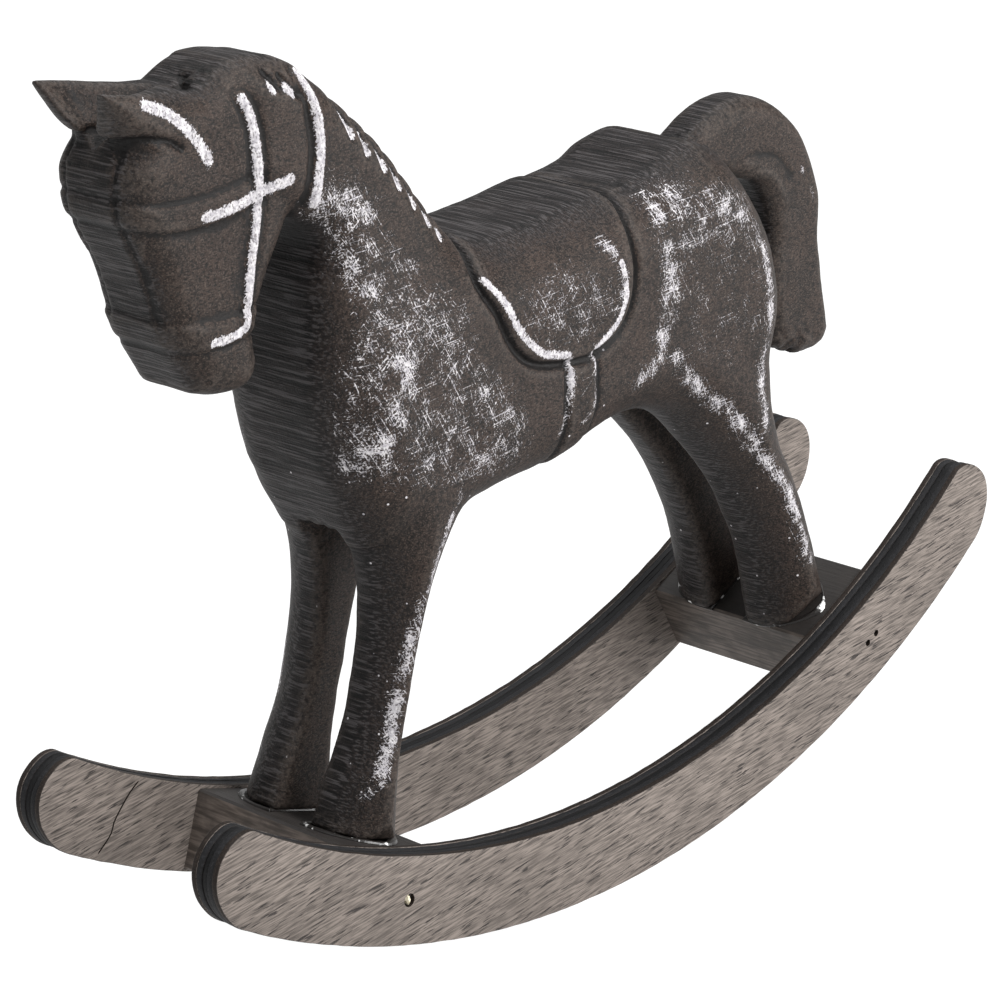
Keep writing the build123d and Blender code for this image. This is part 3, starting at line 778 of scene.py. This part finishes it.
def ring_of(centre, radius, count=18):
    turn = np.arange(count) * 2 * pi / count
    return np.stack([centre[0] + radius * np.cos(turn), centre[1] + radius * np.sin(turn)], 1)


def crack_of(points, width):
    """A sliver of an outline along a path, pointed at both ends."""
    points = np.array(points, float)
    step = np.gradient(points, axis=0)
    step /= np.linalg.norm(step, axis=1)[:, None]
    aside = np.stack([-step[:, 1], step[:, 0]], 1) * width / 2
    return np.vstack([points[:1], points[1:-1] + aside[1:-1], points[-1:],
                      (points[1:-1] - aside[1:-1])[::-1]])


def flat_with_holes(ring, holes):
    """Triangles of a flat area within a ring of points, less its holes, and the points they use."""
    loops = [ring] + holes
    points = np.vstack(loops)
    starts = np.cumsum([0] + [len(loop) for loop in loops])
    faces = [list(range(a, b)) for a, b in zip(starts[:-1], starts[1:])]
    solved = delaunay_2d_cdt([Vector(p) for p in points], [], faces, 2, 1e-6)
    return np.array([tuple(v) for v in solved[0]]), [list(face) for face in solved[2]], solved[3]


def make_ply(name, x_inner, side, edges, recess, holes, seed):
    """One ply with softened edges; edges are its inner and outer bevels, and holes open in its outer flat."""
    path = rocker_outline()
    into = inward(path)
    noise = np.random.default_rng(seed).normal(0, 1, len(path))
    for _ in range(3):
        noise = (np.roll(noise, 1) + noise + np.roll(noise, -1)) / 3
    rough = recess + 0.10 * np.abs(noise)
    low, high = edges
    rows = [(0, low), (low * 0.3, low * 0.3), (low, 0), (PLY_THICKNESS - high, 0),
            (PLY_THICKNESS - high * 0.3, high * 0.3), (PLY_THICKNESS, high)]
    points = []
    for across, inset in rows:
        ring = path + into * (rough + inset)[:, None]
        points.append(np.column_stack([np.full(len(ring), side * (x_inner + across)), ring]))
    count = len(path)
    faces = []
    for row in range(len(rows) - 1):
        for i in range(count):
            j = (i + 1) % count
            faces.append((row * count + i, row * count + j, (row + 1) * count + j, (row + 1) * count + i))
    base = len(rows) * count
    for row, openings in ((0, holes.get("inner", [])), (len(rows) - 1, holes.get("outer", []))):
        x = side * (x_inner + rows[row][0])
        depth = HOLE_DEPTH * (1 if row == 0 else -1) * side
        flat, triangles, used = flat_with_holes(points[row][:, 1:], openings)
        points.append(np.column_stack([np.full(len(flat), x), flat]))
        faces += [tuple(base + i for i in triangle) for triangle in triangles]
        base += len(flat)
        for hole in openings:
            ring = np.column_stack([np.full(len(hole), x), hole])
            points += [ring, ring + (depth, 0, 0)]
            size = len(hole)
            faces += [(base + i, base + (i + 1) % size, base + size + (i + 1) % size, base + size + i)
                      for i in range(size)]
            faces.append(tuple(range(base + size, base + 2 * size)))
            base += 2 * size
    piece = new_piece(name, settled(np.vstack(points)), faces)
    tidy_mesh(piece)
    return piece


def tidy_mesh(piece):
    """Joins doubled points, turns every face outwards and keeps flats flat."""
    bm = bmesh.new()
    bm.from_mesh(piece.data)
    bmesh.ops.remove_doubles(bm, verts=bm.verts, dist=1e-6)
    bmesh.ops.recalc_face_normals(bm, faces=bm.faces)
    for edge in bm.edges:
        edge.smooth = len(edge.link_faces) == 2 and edge.calc_face_angle(0) < radians(34)
    bm.to_mesh(piece.data)
    bm.free()


CRACK = through((-61.5, 27.8), (-63.8, 25.9), (-66.7, 22.5), (-67.8, 20.2), (-70.6, 17.6))


def brad_spots():
    """The (y, z) of the brads in a rocker's outer face: the front one, then the two rear ones."""
    middle = (ROCKER_RADIUS - 0.8 + DECK_RADIUS) / 2
    front, rear, spread = -15.9, 29.3, 0.49
    return [rocker_point(middle, angle) for angle in (front, rear - spread, rear + spread)]


def make_rockers():
    face = (0.150, 0.127, 0.112)
    dark_face = (0.012, 0.011, 0.011)
    finishes = {}
    finishes["face"] = ply_finish("weathered veneer", face, (0.014, 0.010, 0.008), 0.9)
    finishes["cross"] = ply_finish("scorched cross ply", dark_face, (0.010, 0.010, 0.011), 0.0)
    finishes["core"] = ply_finish("scorched core ply", dark_face, (0.0045, 0.0045, 0.005), 0.0)
    front, *rear = brad_spots()
    for side, side_name in ((1, "left"), (-1, "right")):
        for number, (ply, (bevels, recess)) in enumerate(PLIES.items()):
            node = f"{side_name}_rocker_{ply}"
            holes = {}
            if ply == "outer_face_ply":
                holes["outer"] = [ring_of(front, FRONT_HOLE_RADIUS)]
                holes["outer"] += [ring_of(spot, REAR_HOLE_RADIUS) for spot in rear]
            if ply == "inner_face_ply" and side < 0:
                holes["inner"] = [crack_of(CRACK, CRACK_WIDTH)]
            x_inner = BLOCK_HALF_WIDTH + number * PLY_THICKNESS
            seed = 40 + number + 10 * (side > 0)
            piece = make_ply(node + "_worn", x_inner, side, bevels, recess, holes, seed)
            finish = next(finishes[layer] for layer in finishes if layer in ply)
            piece.data.materials.append(finish)
            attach(piece, "root")
            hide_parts(node)


# ---------------------------------------------------------------- glue and filler

def sole_outline(count=56):
    """The (x, y) outline of a foot on its block: flat towards the other foot and round outside."""
    half = FOOT_LENGTH / 2
    along = -half * np.cos(np.linspace(0, pi, count // 2))
    depth = half - np.abs(along)
    outer = BOARD_HALF - BOARD_ROUND + np.sqrt(BOARD_ROUND**2 - (BOARD_ROUND - depth) ** 2)
    right = np.column_stack([outer, along])
    left = np.column_stack([np.full(count // 2, LEG_GAP_HALF + 0.3), along])[::-1]
    return np.vstack([right, left])


def deck_frame(block_y, y):
    """The placement of a foot on its sloping block, in drawing millimetres."""
    slope = block_y / DECK_RADIUS
    level = sqrt(1 - slope * slope)
    height = ROCKER_RADIUS - DECK_RADIUS * level + (y - block_y) * slope / level
    return Matrix.Translation((0, y, height)) @ Matrix.Rotation(np.arctan2(slope, level), 4, "X")


def make_glue():
    """A bead of glue squeezed out round each sole, thicker in some places than in others."""
    points = []
    faces = []
    rng = np.random.default_rng(21)
    around = 8
    for block_y, foot_y in ((FRONT_BLOCK_Y, FRONT_FOOT_Y), (REAR_BLOCK_Y, REAR_FOOT_Y)):
        place = deck_frame(block_y, foot_y)
        for side in (1, -1):
            path = sole_outline()
            thick = rng.normal(0, 1, len(path))
            for _ in range(4):
                thick = (np.roll(thick, 1) + thick + np.roll(thick, -1)) / 3
            start = len(points)
            for (px, py), bulge in zip(path, thick):
                out = Vector((px - SOLE_MIDDLE_X, py)).normalized()
                radius = BEAD_RADIUS + BEAD_SWELL * float(np.clip(bulge, -1, 1.5))
                for k in range(around):
                    turn = 2 * pi * k / around
                    reach = radius * cos(turn)
                    lift = 0.1 + radius * 0.75 * sin(turn)
                    local = Vector((side * (px + out.x * reach), py + out.y * reach, lift))
                    points.append(tuple(place @ local))
            count = len(path)
            for i in range(count):
                for k in range(around):
                    a, b = start + i * around, start + ((i + 1) % count) * around
                    faces.append((a + k, b + k, b + (k + 1) % around, a + (k + 1) % around))
    piece = new_piece("foot_glue_beads", settled(points), faces)
    tidy_mesh(piece)
    return piece


def make_filler():
    """A sliver of filler left standing in each front brad's hole."""
    points = []
    faces = []
    spot = brad_spots()[0]
    rng = np.random.default_rng(4)
    rings = 5
    count = 12
    for side in (1, -1):
        start = len(points)
        for ring in range(rings):
            lift = ring / (rings - 1)
            for k in range(count):
                turn = 2 * pi * k / count
                shrink = (1 - 0.75 * lift**2) * (1 + 0.14 * rng.normal())
                y = spot[0] + 0.1 + FILLER_HALF_WIDTH * shrink * cos(turn)
                z = spot[1] - 0.1 + FILLER_HALF_HEIGHT * shrink * sin(turn)
                points.append((side * (FILLER_BASE_X + FILLER_LENGTH * lift), y, z))
        for ring in range(rings - 1):
            for k in range(count):
                a, b = start + ring * count + k, start + ring * count + (k + 1) % count
                faces.append((a, b, b + count, a + count))
        faces.append(tuple(range(start, start + count)))
        faces.append(tuple(range(start + (rings - 1) * count, start + rings * count)))
    piece = new_piece("filler_slivers", settled(points), faces)
    tidy_mesh(piece)
    return piece


# ---------------------------------------------------------------- the toy

def make_horse():
    piece, where = mesh_horse()
    brush_paint(piece, where)
    piece.data.materials.append(horse_finish())
    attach(piece, "root")
    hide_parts("horse")


def dress(node, material):
    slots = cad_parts[node].data.materials
    slots.clear()
    slots.append(material)


def make_small_parts():
    cream = plain_finish("cream filler", (0.42, 0.36, 0.24), (0.72, 0.66, 0.5))
    for piece, node, slot, finish in (
        (make_glue(), "foot_glue", "glue", glue_finish()),
        (make_filler(), "brad_hole_filler", "filler", cream),
    ):
        piece.data.materials.append(finish)
        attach(piece, "root")
        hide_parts(node)
    steel = plain_finish("dull wire", (0.12, 0.11, 0.10), (0.32, 0.31, 0.30), 1.0, 0.35)
    for node in ("foot_nails", "rocker_brads"):
        dress(node, steel)
    blocks = block_finish()
    for node in ("front_cross_block", "rear_cross_block"):
        dress(node, blocks)


# ---------------------------------------------------------------- floor, lights and camera

def make_stage():
    floor = new_piece("floor", [(-6, -6, 0), (6, -6, 0), (6, 6, 0), (-6, 6, 0)], [(0, 1, 2, 3)], False)
    f = Finish("pale floor")
    glow = {"Emission_Color": (1, 1, 1, 1), "Emission_Strength": 1.0}
    floor.data.materials.append(f.done((0.1, 0.1, 0.1, 1), 0.9, Specular_IOR_Level=0.0, **glow))
    world = bpy.data.worlds.new("studio")
    world.use_nodes = True
    world.node_tree.nodes["Background"].inputs["Color"].default_value = (1, 1, 1, 1)
    world.node_tree.nodes["Background"].inputs["Strength"].default_value = 0.30
    bpy.context.scene.world = world
    bpy.context.scene.view_settings.view_transform = "Standard"
    lamps = (
        ("key", (0.75, 0.1, 0.7), 0.45, 11.5),
        ("front", (-0.1, -0.95, 0.6), 0.4, 0.6),
        ("top", (-0.1, 0.1, 1.0), 0.9, 10.0),
        ("low side", (0.44, 0.36, 0.10), 0.3, 2.3),
    )
    for name, place, size, power in lamps:
        lamp = bpy.data.lights.new(name, "AREA")
        lamp.size = size
        lamp.energy = power
        holder = bpy.data.objects.new(name, lamp)
        holder.location = place
        holder.rotation_euler = (Vector((0, 0, 0.08)) - Vector(place)).to_track_quat("-Z", "Y").to_euler()
        bpy.context.scene.collection.objects.link(holder)


def make_camera():
    """The camera stands at the horse's near front corner, a little above it."""
    azimuth = radians(44.118)
    height = radians(18.008)
    back = Vector((sin(azimuth) * cos(height), -cos(azimuth) * cos(height), sin(height)))
    right = Vector((0, 0, 1)).cross(back).normalized()
    up = back.cross(right)
    turn = Matrix((right, up, back)).transposed().to_4x4()
    place = Matrix.Translation((408.91, -418.06, 255.18)) @ turn
    world = SETTLE @ place
    lens = bpy.data.cameras.new("camera")
    lens.sensor_width = 36.0
    lens.lens = 133.08
    lens.clip_start = 0.01
    camera = bpy.data.objects.new("camera", lens)
    camera.matrix_world = Matrix.Translation(world.translation * MM) @ world.to_3x3().to_4x4()
    bpy.context.scene.collection.objects.link(camera)
    bpy.context.scene.camera = camera


make_camera()
make_stage()
make_horse()
make_rockers()
make_small_parts()
